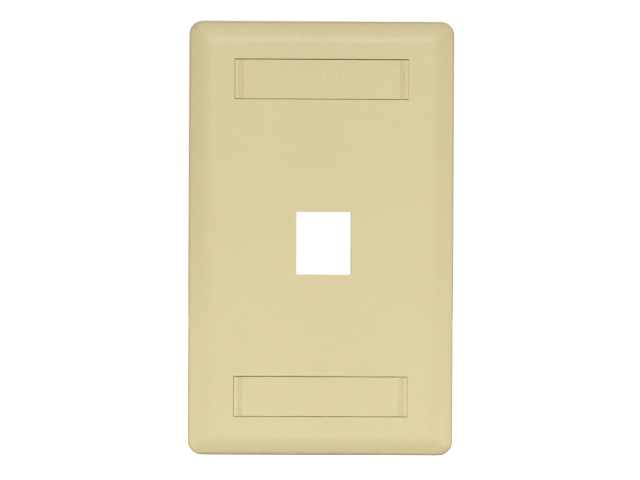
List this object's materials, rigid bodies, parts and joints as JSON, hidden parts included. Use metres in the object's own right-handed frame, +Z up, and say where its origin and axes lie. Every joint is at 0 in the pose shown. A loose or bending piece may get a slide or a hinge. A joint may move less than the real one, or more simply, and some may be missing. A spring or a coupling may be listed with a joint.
{
  "type": "wall plate cover",
  "caption": "Single-gang wall plate with a pillow edge, one open snap-in jack port and flush snap-in covers over its mounting screws.",
  "frame": {"origin": "centre of the plate's outline, on the wall plane that its rim rests on", "axes": "+X to the right seen from the room, +Y into the wall, +Z up; the visible face looks along -Y"},
  "size_m": [0.0698, 0.0295, 0.1142],
  "materials": {
    "ivory_plate": "ivory moulded plastic with a fine matte spark-eroded grain",
    "ivory_cover": "the same ivory plastic, fine matte grain, colour-matched",
    "zinc_screw": "bright zinc-plated steel",
    "nylon_washer": "natural white nylon, smooth"
  },
  "bodies": {
    "plate": {"faceplate": "ivory_plate"},
    "upper_cover_body": {"upper_cover": "ivory_cover"},
    "lower_cover_body": {"lower_cover": "ivory_cover"},
    "upper_screw_body": {"upper_mounting_screw": "zinc_screw", "upper_retaining_washer": "nylon_washer"},
    "lower_screw_body": {"lower_mounting_screw": "zinc_screw", "lower_retaining_washer": "nylon_washer"}
  },
  "joints": [
    {"name": "upper_cover_pull", "type": "slide", "parent": "plate", "child": "upper_cover_body", "axis": [0, -1, 0], "range_m": [0, 0.02]},
    {"name": "lower_cover_pull", "type": "slide", "parent": "plate", "child": "lower_cover_body", "axis": [0, -1, 0], "range_m": [0, 0.02]},
    {"name": "upper_screw_turn", "type": "hinge", "parent": "plate", "child": "upper_screw_body", "pos_m": [0, 0, 0.04167], "axis": [0, 1, 0], "continuous": true},
    {"name": "lower_screw_turn", "type": "hinge", "parent": "plate", "child": "lower_screw_body", "pos_m": [0, 0, -0.04167], "axis": [0, 1, 0], "continuous": true}
  ]
}
